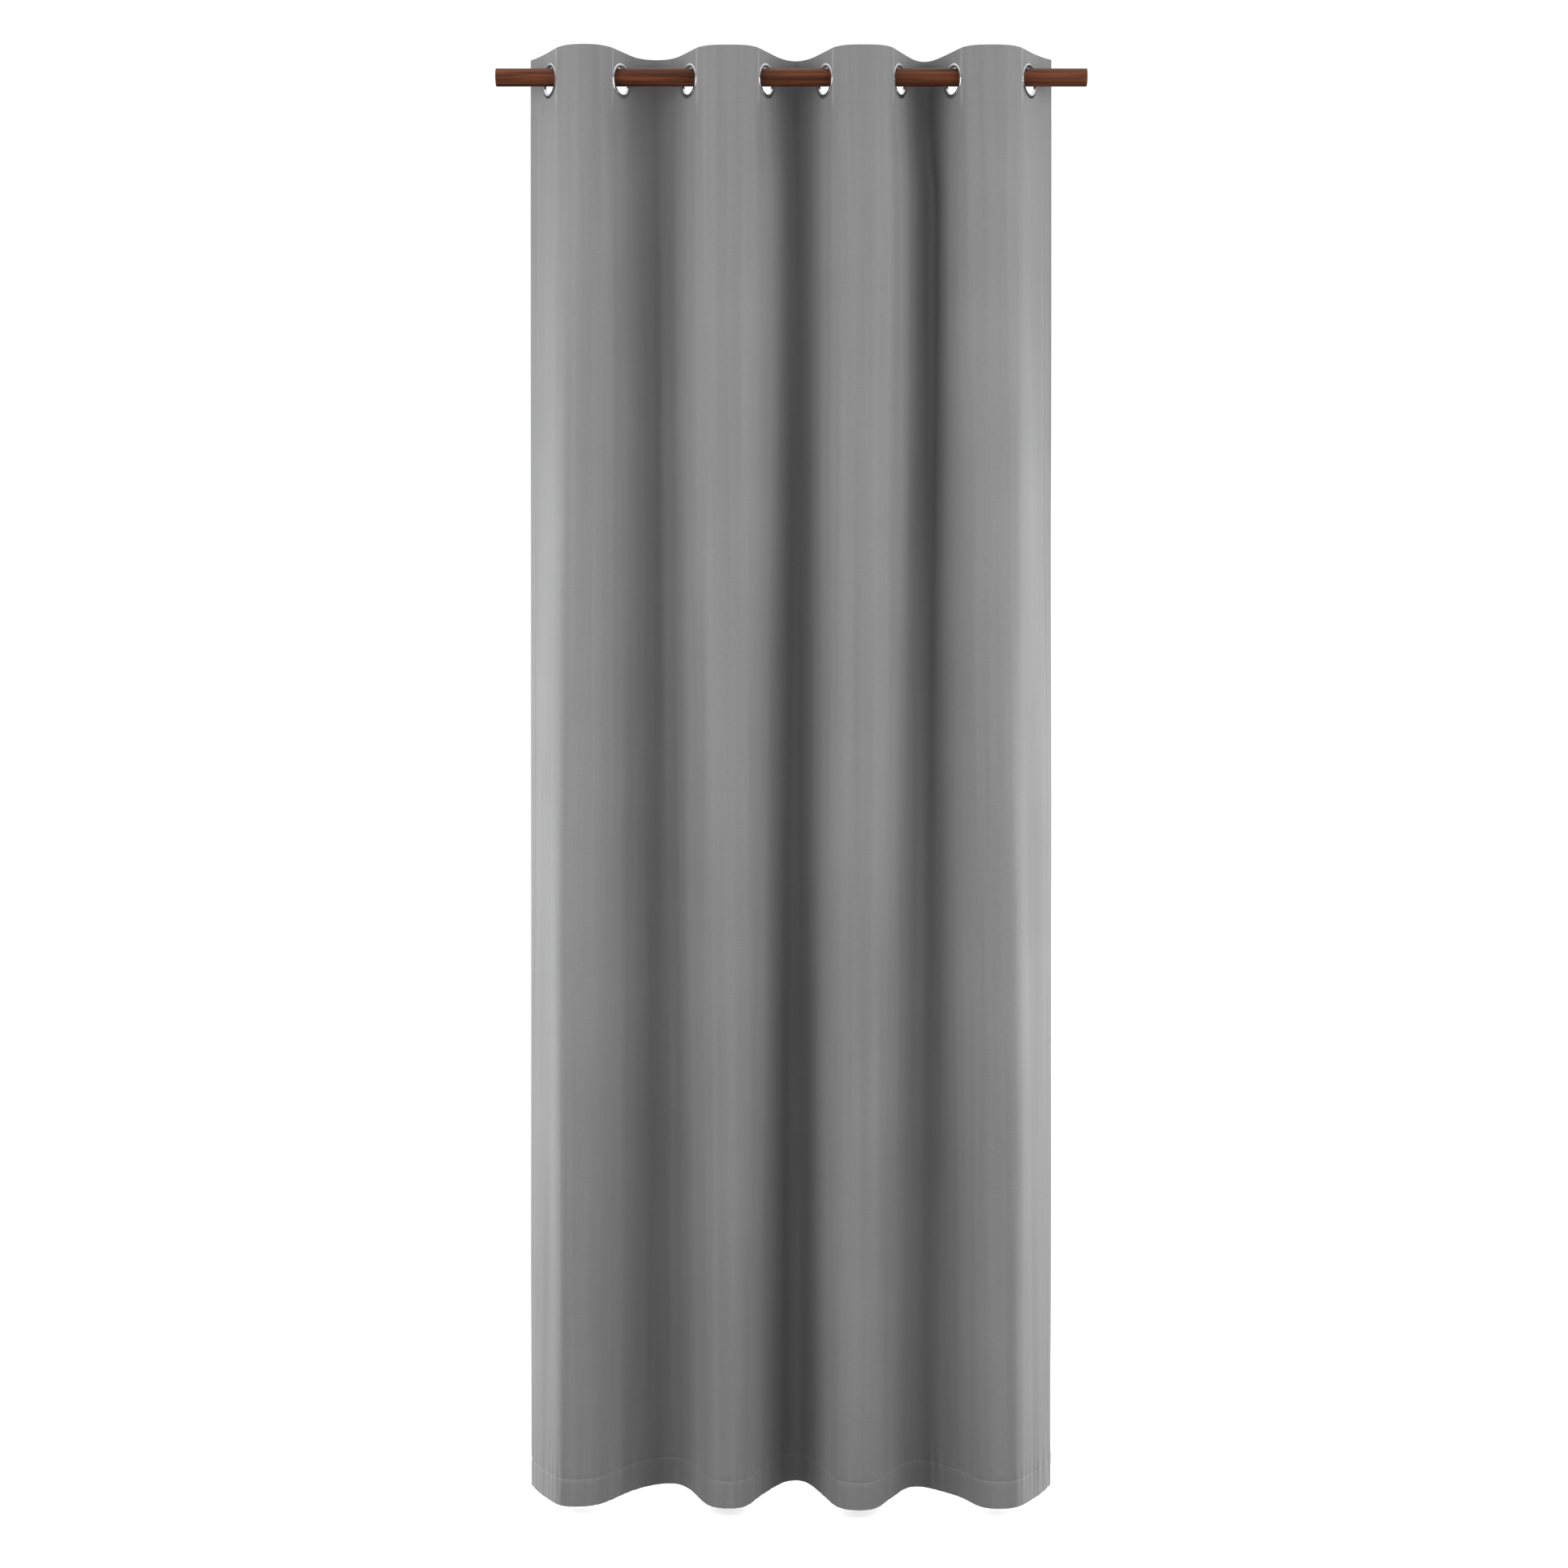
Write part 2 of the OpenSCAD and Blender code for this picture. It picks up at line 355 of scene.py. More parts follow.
class Fall:
    """The whole panel as a grid: row by row down the cloth, column by column from its left hem."""

    def __init__(self, sizes):
        eyelets, folds = eyelet_places(), fold_places()
        left_end, right_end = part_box("pleat_1")[0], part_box("pleat_8")[1]
        self.top, self.drop = right_end.z, right_end.z - left_end.z
        self.cut_radius, middle = eyelet_size()
        self.eyelet_down = self.top - middle
        self.down = levels_of(sizes, self.drop, self.eyelet_down)
        fall = ease((self.down - sizes.heading) / (self.drop - sizes.heading))
        softer = ease((self.down - sizes.heading * 0.9) / SOFTENS_OVER)
        pitch = (sizes.flat_width - 2 * sizes.flap) / GAPS
        flat = mix(sizes.plate, SOFT_PLATE, softer)
        crease = mix(sizes.crease, 0.0, ease((self.down - sizes.heading * 0.8) / 0.05))
        lines = []
        for i, (x, angle) in enumerate(eyelets):
            along = x + STRAY_AT_HEM[i] * fall + LINE_SWAY[i] * softer * (1 - fall)
            place = np.stack([along, 0 * fall], -1)
            lines.append((place, mix(angle, math.radians(ANGLE_AT_HEM[i]), fall)))
        stops = flap_stops(sizes)
        left = spaced(flap_curve(*lines[0], left_end.x + 0 * fall, sizes.flap, -1), stops)
        parts, along = [left[:, ::-1]], [sizes.flap * (1 - stops[::-1])]
        shares = gap_stops(sizes.plate / pitch)
        for k in range(GAPS):
            side = FRONT if k % 2 == 0 else BACK
            depth = mix(abs(folds[k][1]) * DOME_SHARE[side], CREST_DEPTH_AT_HEM[k], fall)
            along_rod = folds[k][0] + CREST_STRAY_AT_HEM[k] * fall + CREST_SWAY[k] * softer * (1 - fall)
            crest = np.stack([along_rod, side * depth], -1)
            bend = crease if side == FRONT else 0 * crease
            wave = whole_wave(lines[k], lines[k + 1], crest, side, flat, bend)
            parts.append(spaced(wave, shares))
            along.append(sizes.flap + pitch * (k + shares))
        right = flap_curve(*lines[-1], right_end.x + 0 * fall, sizes.flap, 1)
        parts.append(spaced(right, stops))
        along.append(sizes.flat_width - sizes.flap * (1 - stops))
        # neighbours share their column, so each part after the first drops its own copy
        self.starts = np.cumsum([0] + [p.shape[1] - 1 for p in parts])
        plan = np.concatenate([parts[0]] + [p[:, 1:] for p in parts[1:]], 1)
        self.across = np.concatenate([along[0]] + [a[1:] for a in along[1:]])
        height = np.repeat((self.top - self.down)[:, None], plan.shape[1], 1)
        self.middle = np.concatenate([plan, height[..., None]], -1)
        self.eyelet_across = sizes.flap + pitch * np.arange(EYELETS)
        self.stray(sizes, fall)

    def stray(self, sizes, fall):
        """Small lazy bends down the folds, and fine puckers and a stitched groove along the hem. The
        heading stays crisp."""
        rng = np.random.default_rng(5)
        u, t = self.across[None], self.down[:, None]
        loose = ease(fall / 0.3)[:, None]
        bend = sum(
            rng.uniform(0.5, 1.0)
            * np.sin(t * rng.uniform(2.5, 7.5) + rng.uniform(0, 6.3))
            * np.sin(u * rng.uniform(28, 60) + rng.uniform(0, 6.3))
            for _ in range(6)
        )
        pucker = sum(
            np.sin(u * w + rng.uniform(0, 6.3) + 2.0 * np.sin(u * rng.uniform(6, 17)))
            * (0.6 + 0.4 * np.sin(u * rng.uniform(9, 25) + rng.uniform(0, 6.3)))
            for w in (210, 330, 455)
        )
        seam = self.drop - sizes.hem
        above = np.exp(-np.clip(seam - t, 0, None) / PUCKERS_REACH) * (t <= seam)
        under = (0.35 + 0.65 * np.exp(-(t - seam) / 0.012)) * (t > seam)
        amount = sizes.wander / 3 * bend * loose + sizes.ripple / 2 * pucker * (above + under)
        amount = amount + GROOVE_DEPTH * np.exp(-(((t - seam) / GROOVE_WIDTH) ** 2))
        self.middle += self.find_normals() * amount[..., None]
        self.normal = self.find_normals()
        self.face, self.back = layers(self, sizes)

    def find_normals(self):
        """Unit normals towards the back of the cloth."""
        across = np.gradient(self.middle, self.across, axis=1)
        down = np.gradient(self.middle, self.down, axis=0)
        normal = np.cross(across, down)
        return normal / np.linalg.norm(normal, axis=-1, keepdims=True)

    def at(self, across, down, surface):
        """Points of one surface, and their normals, at places on the flat cloth."""
        column = np.interp(across, self.across, np.arange(len(self.across)))
        row = np.interp(down, self.down, np.arange(len(self.down)))
        j = np.minimum(column.astype(int), len(self.across) - 2)
        i = np.minimum(row.astype(int), len(self.down) - 2)
        a, b = (column - j)[:, None], (row - i)[:, None]

        def between(grid):
            top = grid[i, j] * (1 - a) + grid[i, j + 1] * a
            return top * (1 - b) + (grid[i + 1, j] * (1 - a) + grid[i + 1, j + 1] * a) * b

        return between(self.middle + self.normal * surface[..., None]), between(self.normal)

    def part(self, k):
        """Column numbers of part k: 0 is the left flap, 1 to 7 the waves, 8 the right flap."""
        return np.arange(self.starts[k], self.starts[k + 1] + 1)


# ---------------------------------------------------------------- cloth pieces


def layers(fall, sizes):
    """How far behind the middle of the heading the cloth's front and back surfaces lie, on the grid."""
    layer, pocket = sizes.thickness, sizes.thickness / 2
    t, u = fall.down[:, None], fall.across[None]
    face = np.full(fall.middle.shape[:2], -pocket - layer)
    back = np.full(fall.middle.shape[:2], -pocket)
    heading = t <= sizes.heading
    hemmed = (t >= fall.drop - sizes.hem) | (u < sizes.side_hem) | (u > sizes.flat_width - sizes.side_hem)
    back = np.where(hemmed, -pocket + layer, back)
    back = np.where(heading, pocket + layer, back)
    middle, half = (face + back) / 2, (back - face) / 2
    edge = np.minimum(np.minimum(t, fall.drop - t), np.minimum(u, sizes.flat_width - u) + 0 * t)
    round_off = np.sqrt(np.clip(1 - (1 - np.clip(edge / half, 0, 1)) ** 2, 0.09, 1))
    return middle - half * round_off, middle + half * round_off


def cut_eyelets(fall, columns, middle, u, t):
    """Moves the grid's points beside each eyelet's cut onto its rim."""
    beside = 0.0013  # half the spacing of the grid round an eyelet
    for place in fall.eyelet_across:
        i = int(np.argmin(np.abs(fall.across[columns] - place)))
        if abs(fall.across[columns][i] - place) > 1e-6:
            continue
        du, dt = u - place, t - fall.eyelet_down
        away = np.maximum(np.hypot(du, dt), 1e-9)
        pull = np.where(np.abs(away - fall.cut_radius) < beside, fall.cut_radius / away, 1.0) - 1
        # the cloth is flat beside an eyelet, so a step along it is a step in one direction
        way = middle[:, min(i + 1, len(columns) - 1)] - middle[:, max(i - 1, 0)]
        way = (way / np.linalg.norm(way, axis=-1, keepdims=True))[:, None]
        middle = middle + way * (du * pull)[..., None]
        middle[..., 2] -= dt * pull
        u, t = u + du * pull, t + dt * pull
    return middle, u, t


def sheet_mesh(name, fall, columns, rows, front, back):
    """A closed sheet of the grid between two surfaces, with the eyelets' cuts in it."""
    grid = np.ix_(rows, columns)
    normal = fall.normal[grid]
    u, t = np.meshgrid(fall.across[columns], fall.down[rows])
    middle, u, t = cut_eyelets(fall, columns, fall.middle[grid], u, t)
    number = np.arange(u.size).reshape(u.shape)
    quads = np.stack([number[:-1, :-1], number[1:, :-1], number[1:, 1:], number[:-1, 1:]], -1)
    quads = quads.reshape(-1, 4)
    for place in fall.eyelet_across:
        centre_u, centre_t = u.ravel()[quads].mean(1), t.ravel()[quads].mean(1)
        quads = quads[np.hypot(centre_u - place, centre_t - fall.eyelet_down) > fall.cut_radius]
    edges = np.concatenate([quads[:, [a, (a + 1) % 4]] for a in range(4)])
    _, first, count = np.unique(np.sort(edges, 1), axis=0, return_index=True, return_counts=True)
    rim = edges[first[count == 1]]
    walls = np.stack([rim[:, 1], rim[:, 0], rim[:, 0] + u.size, rim[:, 1] + u.size], -1)
    faces = np.concatenate([quads, quads[:, ::-1] + u.size, walls])
    near = middle + normal * front[grid][..., None]
    far = middle + normal * back[grid][..., None]
    points = np.concatenate([near.reshape(-1, 3), far.reshape(-1, 3)])
    normals = np.concatenate([-normal.reshape(-1, 3), normal.reshape(-1, 3)])
    flat = np.concatenate([np.stack([u.ravel(), t.ravel()], -1)] * 2)
    used, faces = np.unique(faces, return_inverse=True)
    return mesh_object(name, points[used], faces.reshape(-1, 4), flat[used], normals[used])


def mesh_object(name, points, faces, flat, normals):
    """A smooth mesh with its flat pattern as UV, in metres. normals, one for each point, keep the
    shading continuous where one part of the cloth meets the next."""
    mesh = bpy.data.meshes.new(name)
    mesh.from_pydata(points.tolist(), [], faces.tolist())
    mesh.update()
    layer = mesh.uv_layers.new(name="Cut")
    layer.data.foreach_set("uv", flat[faces.ravel()].ravel())
    mesh.shade_smooth()
    mesh.normals_split_custom_set(normals[faces.ravel()].tolist())
    obj = bpy.data.objects.new(name, mesh)
    bpy.context.collection.objects.link(obj)
    return obj


def paint_fold_highlights(obj, fall, sizes):
    """Marks the folds pressed into the heading on the room side of each eyelet, and the pressed edge
    of the bottom hem, where a painted highlight lightens the cloth's colour."""
    count = len(obj.data.loops)
    flat, corners = np.empty(count * 2), np.empty(count, int)
    obj.data.uv_layers["Cut"].data.foreach_get("uv", flat)
    obj.data.loops.foreach_get("vertex_index", corners)
    u, t = flat.reshape(-1, 2).T
    highlight_amount = np.zeros(len(obj.data.vertices))
    # pressed and stitched set how strongly the painted highlight lightens the pressed folds and the hem
    # seam; the widths set how far it spreads
    pressed, pressed_width = 0.55, 0.0021
    stitched, stitched_width = 0.22, 0.0014
    seam = fall.drop - sizes.hem
    np.maximum.at(highlight_amount, corners, stitched * np.exp(-(((t - seam) / stitched_width) ** 2)))
    for i, place in enumerate(fall.eyelet_across):
        room_side = 1 if i % 2 == 0 else -1
        away = np.abs(u - (place + room_side * sizes.plate))
        fades = ease((sizes.heading + 0.012 - t) / 0.03)
        np.maximum.at(highlight_amount, corners, pressed * np.exp(-((away / pressed_width) ** 2)) * fades)
    attribute = obj.data.attributes.new("Painted fold highlight", "FLOAT", "POINT")
    attribute.data.foreach_set("value", highlight_amount.astype(np.float32))


def hang(obj, fall, k):
    """Part k of the panel: a flap moves with its own leaf; a wave stays where it hangs, its place baked
    into its mesh.
    """
    if k == 0 or k == EYELETS:
        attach(obj, "leaf_1" if k == 0 else f"leaf_{EYELETS}")
        return
    ends = fall.middle[:, fall.part(k)[[0, -1]], 0]
    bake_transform(obj)


# ---------------------------------------------------------------- sewing


def stitches(fall, seams, sizes):
    """Thread along seams: each is (start, end) on the flat cloth. Every stitch is a short rounded length
    of thread that dips into the cloth at its ends, on the front and on the back."""
    sides, radius = 5, sizes.thread / 2
    stations = np.array([0.08, 0.3, 0.7, 0.92])
    swell, lift = np.array([0.5, 1.0, 1.0, 0.5]), np.array([-0.6, 0.55, 0.55, -0.6])
    points, faces, count = [], [], 0
    turns = np.linspace(0, 2 * math.pi, sides, endpoint=False)
    for start, end in seams:
        start, end = np.array(start), np.array(end)
        total = np.linalg.norm(end - start)
        number = int(total / sizes.stitch)
        if number < 1:
            continue
        share = (np.arange(number)[:, None] + stations[None]) / number
        spots = start + (end - start) * share.reshape(-1, 1)
        for surface, out in ((fall.face, -1), (fall.back, 1)):
            place, normal = fall.at(spots[:, 0], spots[:, 1], surface)
            place, normal = place.reshape(number, 4, 3), out * normal.reshape(number, 4, 3)
            way = place[:, -1] - place[:, 0]
            way = (way / np.linalg.norm(way, axis=-1, keepdims=True))[:, None]
            beside = np.cross(way, normal)
            place = place + normal * (lift * radius)[None, :, None]
            ring = (
                beside[:, :, None] * np.cos(turns)[None, None, :, None]
                + normal[:, :, None] * np.sin(turns)[None, None, :, None]
            )
            ring = place[:, :, None] + ring * (swell * radius)[None, :, None, None]
            points.append(ring.reshape(-1, 3))
            base = count + np.arange(number * 4).reshape(number, 4, 1) * sides
            a, b = np.arange(sides), (np.arange(sides) + 1) % sides
            skin = np.stack(
                [base[:, :-1] + a, base[:, :-1] + b, base[:, 1:] + b, base[:, 1:] + a], -1
            ).reshape(-1, 4)
            faces.extend(skin.tolist())
            faces.extend((base[:, 0] + a[::-1]).tolist())
            faces.extend((base[:, -1] + a).tolist())
            count += number * 4 * sides
    return np.concatenate(points), faces


def seams_of(fall, sizes, k):
    """Seams that cross part k, as (start, end) on the flat cloth."""
    inset = 0.002  # from a seam to the edge that it holds
    columns = fall.part(k)
    left, right = fall.across[columns[0]], fall.across[columns[-1]]
    first = left + inset if k == 0 else left
    last = right - inset if k == EYELETS else right
    heading, hem = sizes.heading - inset, fall.drop - sizes.hem + inset
    seams = [((first, heading), (last, heading)), ((first, hem), (last, hem))]
    if k in (0, EYELETS):
        beside = left + sizes.side_hem - inset if k == 0 else right - sizes.side_hem + inset
        seams.append(((beside, sizes.heading), (beside, fall.drop - sizes.hem)))
    return seams


# ---------------------------------------------------------------- finishes


class Nodes:
    """A short way to lay out a node tree, left to right."""

    def __init__(self, tree):
        self.tree = tree
        self.count = 0

    def add(self, kind, inputs=None, **settings):
        node = self.tree.nodes.new(kind)
        self.count += 1
        node.location = (200 * self.count, -60 * (self.count % 5))
        for name, value in settings.items():
            setattr(node, name, value)
        for name, value in (inputs or {}).items():
            if isinstance(value, bpy.types.NodeSocket):
                self.tree.links.new(value, node.inputs[name])
            else:
                node.inputs[name].default_value = value
        return node

    def math(self, how, *values):
        return self.add("ShaderNodeMath", dict(enumerate(values)), operation=how).outputs[0]

    def blend_colours(self, how, share, first, second):
        """One colour over another. share is how much of the second, from 0 to 1."""
        node = self.add("ShaderNodeMix", data_type="RGBA", blend_type=how)
        for socket, value in ((node.inputs[0], share), (node.inputs[6], first), (node.inputs[7], second)):
            if isinstance(value, bpy.types.NodeSocket):
                self.tree.links.new(value, socket)
            else:
                socket.default_value = value
        return node.outputs[2]

    def ramp(self, share, stops):
        node = self.add("ShaderNodeValToRGB", {"Fac": share})
        while len(node.color_ramp.elements) < len(stops):
            node.color_ramp.elements.new(0.5)
        for element, (place, colour) in zip(node.color_ramp.elements, stops):
            element.position, element.color = place, (*colour, 1.0)
        return node.outputs["Color"]


def group(name, inputs, outputs):
    """An empty shader node group with named number inputs, given as name: default, and outputs."""
    tree = bpy.data.node_groups.new(name, "ShaderNodeTree")
    for label, default in inputs.items():
        kind = "NodeSocketVector" if isinstance(default, tuple) else "NodeSocketFloat"
        socket = tree.interface.new_socket(label, in_out="INPUT", socket_type=kind)
        socket.default_value = default
    for label in outputs:
        tree.interface.new_socket(label, in_out="OUTPUT", socket_type="NodeSocketFloat")
    nodes = Nodes(tree)
    return nodes, nodes.add("NodeGroupInput"), nodes.add("NodeGroupOutput")


def woven_threads():
    """Crossing threads, with slubs and slow changes of dye. Place is in metres on the flat cloth."""
    if "Woven threads" in bpy.data.node_groups:
        return bpy.data.node_groups["Woven threads"]
    nodes, given, result = group(
        "Woven threads",
        {"Place": (0.0, 0.0, 0.0), "Threads per metre": 2000.0, "Slub": 0.5},
        ("Height", "Slubs", "Dye"),
    )
    split = nodes.add("ShaderNodeSeparateXYZ", {"Vector": given.outputs["Place"]})
    turn = nodes.math("MULTIPLY", given.outputs["Threads per metre"], math.pi)
    warp = nodes.math("SINE", nodes.math("MULTIPLY", split.outputs["X"], turn))
    weft = nodes.math("SINE", nodes.math("MULTIPLY", split.outputs["Y"], turn))
    crossing = nodes.math("MULTIPLY", warp, weft)
    threads = nodes.math("MULTIPLY_ADD", crossing, 0.35, nodes.math("MULTIPLY", warp, warp))
    nodes.tree.links.new(threads, result.inputs["Height"])
    streaks = []
    for stretch in ((900.0, 45.0, 1.0), (60.0, 1100.0, 1.0)):
        place = nodes.add("ShaderNodeMapping", {"Vector": given.outputs["Place"], "Scale": stretch})
        noise = nodes.add("ShaderNodeTexNoise", {"Vector": place.outputs[0], "Scale": 1.0, "Detail": 3.0})
        streaks.append(noise.outputs["Fac"])
    slubs = nodes.math("MULTIPLY_ADD", streaks[0], given.outputs["Slub"], streaks[1])
    nodes.tree.links.new(nodes.math("DIVIDE", slubs, 1.5), result.inputs["Slubs"])
    runs = nodes.add("ShaderNodeMapping", {"Vector": given.outputs["Place"], "Scale": (58.0, 1.1, 1.0)})
    bands = nodes.add("ShaderNodeTexNoise", {"Vector": runs.outputs[0], "Scale": 1.0, "Detail": 3.0})
    cloud = nodes.add("ShaderNodeTexNoise", {"Vector": given.outputs["Place"], "Scale": 3.5, "Detail": 3.0})
    broad = nodes.math("MULTIPLY", cloud.outputs["Fac"], 0.4)
    uneven = nodes.math("MULTIPLY_ADD", bands.outputs["Fac"], 0.6, broad)
    nodes.tree.links.new(uneven, result.inputs["Dye"])
    return nodes.tree


def fine_wear():
    """Fine scratches one way and small smudges, for a surface that hands or rings rub."""
    if "Fine wear" in bpy.data.node_groups:
        return bpy.data.node_groups["Fine wear"]
    nodes, given, result = group(
        "Fine wear", {"Place": (0.0, 0.0, 0.0), "Size": 1.0}, ("Scratches", "Smudges")
    )
    place = nodes.add("ShaderNodeVectorMath", {0: given.outputs["Place"]}, operation="SCALE")
    nodes.tree.links.new(given.outputs["Size"], place.inputs["Scale"])
    long_way = nodes.add("ShaderNodeMapping", {"Vector": place.outputs[0], "Scale": (90.0, 1600.0, 1600.0)})
    scratch = nodes.add("ShaderNodeTexNoise", {"Vector": long_way.outputs[0], "Scale": 1.0, "Detail": 2.0})
    nodes.tree.links.new(scratch.outputs["Fac"], result.inputs["Scratches"])
    smudge = nodes.add("ShaderNodeTexNoise", {"Vector": place.outputs[0], "Scale": 60.0, "Detail": 4.0})
    nodes.tree.links.new(smudge.outputs["Fac"], result.inputs["Smudges"])
    return nodes.tree


def material(name):
    """A new material: its layout helper and its shader."""
    made = bpy.data.materials.new(name)
    made.use_nodes = True
    made.node_tree.nodes.clear()
    nodes = Nodes(made.node_tree)
    shader = nodes.add("ShaderNodeBsdfPrincipled")
    nodes.add("ShaderNodeOutputMaterial", {"Surface": shader.outputs[0]})
    return made, nodes, shader


def scaled(colour, factor):
    return tuple(c * factor for c in colour)


def satin_cloth(colour):
    """Dyed satin: fine threads with a soft lustre, a slightly uneven dye, and a painted highlight along the
    heading's pressed folds and the hem seam.
    """
    made, nodes, shader = material("Satin cloth")
    cut = nodes.add("ShaderNodeUVMap", uv_map="Cut")
    weave = nodes.add("ShaderNodeGroup", node_tree=woven_threads())
    nodes.tree.links.new(cut.outputs[0], weave.inputs["Place"])
    weave.inputs["Threads per metre"].default_value = 1900.0
    weave.inputs["Slub"].default_value = 0.5
    dye = nodes.ramp(
        weave.outputs["Dye"], ((0.38, scaled(colour, 0.93)), (0.62, scaled(colour, 1.07)))
    )
    slub = nodes.ramp(weave.outputs["Slubs"], ((0.3, (0.9, 0.9, 0.9)), (0.72, (1.08, 1.08, 1.08))))
    cloth = nodes.blend_colours("MULTIPLY", 1.0, dye, slub)
    # The fold marks lift the cloth's colour almost twofold: a painted highlight on the heading's creases
    # and on the hem seam
    pressed = nodes.add("ShaderNodeAttribute", attribute_name="Painted fold highlight").outputs["Fac"]
    highlighted_cloth = nodes.blend_colours("MIX", pressed, cloth, (*scaled(colour, 1.9), 1.0))
    nodes.tree.links.new(highlighted_cloth, shader.inputs["Base Color"])
    rough = nodes.add(
        "ShaderNodeMapRange",
        {"Value": weave.outputs["Slubs"], "From Min": 0.3, "From Max": 0.7, "To Min": 0.5, "To Max": 0.62},
    )
    nodes.tree.links.new(rough.outputs[0], shader.inputs["Roughness"])
    height = nodes.math("MULTIPLY_ADD", weave.outputs["Slubs"], 1.6, weave.outputs["Height"])
    bump = nodes.add("ShaderNodeBump", {"Height": height, "Strength": 0.3, "Distance": 0.00012})
    nodes.tree.links.new(bump.outputs[0], shader.inputs["Normal"])
    shader.inputs["Sheen Weight"].default_value = 0.2
    shader.inputs["Sheen Roughness"].default_value = 0.4
    shader.inputs["Specular IOR Level"].default_value = 0.4
    return made


def sewing_thread(colour):
    """Twisted polyester thread, a shade lighter than the cloth."""
    made, nodes, shader = material("Sewing thread")
    place = nodes.add("ShaderNodeNewGeometry").outputs["Position"]
    twist = nodes.add("ShaderNodeTexWave", {"Vector": place, "Scale": 900.0, "Distortion": 2.0})
    shade = nodes.ramp(twist.outputs["Fac"], ((0.0, scaled(colour, 0.8)), (1.0, scaled(colour, 1.05))))
    nodes.tree.links.new(shade, shader.inputs["Base Color"])
    bump = nodes.add(
        "ShaderNodeBump", {"Height": twist.outputs["Fac"], "Strength": 0.4, "Distance": 0.0001}
    )
    nodes.tree.links.new(bump.outputs[0], shader.inputs["Normal"])
    shader.inputs["Roughness"].default_value = 0.45
    shader.inputs["Sheen Weight"].default_value = 0.3
    return made


def heading_tape(colour):
    """Stiff pressed tape with an open woven face."""
    made, nodes, shader = material("Heading tape")
    cut = nodes.add("ShaderNodeUVMap", uv_map="Cut")
    weave = nodes.add("ShaderNodeGroup", node_tree=woven_threads())
    nodes.tree.links.new(cut.outputs[0], weave.inputs["Place"])
    weave.inputs["Threads per metre"].default_value = 1100.0
    weave.inputs["Slub"].default_value = 0.9
    shade = nodes.ramp(
        weave.outputs["Slubs"], ((0.3, scaled(colour, 0.82)), (0.7, scaled(colour, 1.08)))
    )
    nodes.tree.links.new(shade, shader.inputs["Base Color"])
    bump = nodes.add(
        "ShaderNodeBump", {"Height": weave.outputs["Height"], "Strength": 0.6, "Distance": 0.0002}
    )
    nodes.tree.links.new(bump.outputs[0], shader.inputs["Normal"])
    shader.inputs["Roughness"].default_value = 0.8
    return made


def plated_metal(colour):
    """Bright plating with faint rubbing from the rod."""
    made, nodes, shader = material("Bright plating")
    place = nodes.add("ShaderNodeNewGeometry").outputs["Position"]
    wear = nodes.add("ShaderNodeGroup", node_tree=fine_wear())
    nodes.tree.links.new(place, wear.inputs["Place"])
    wear.inputs["Size"].default_value = 2.0
    shade = nodes.ramp(wear.outputs["Smudges"], ((0.35, scaled(colour, 0.9)), (0.65, colour)))
    nodes.tree.links.new(shade, shader.inputs["Base Color"])
    rough = nodes.add(
        "ShaderNodeMapRange",
        {
            "Value": wear.outputs["Scratches"],
            "From Min": 0.35,
            "From Max": 0.75,
            "To Min": 0.06,
            "To Max": 0.2,
        },
    )
    nodes.tree.links.new(rough.outputs[0], shader.inputs["Roughness"])
    bump = nodes.add(
        "ShaderNodeBump", {"Height": wear.outputs["Scratches"], "Strength": 0.08, "Distance": 0.0001}
    )
    nodes.tree.links.new(bump.outputs[0], shader.inputs["Normal"])
    shader.inputs["Metallic"].default_value = 1.0
    return made


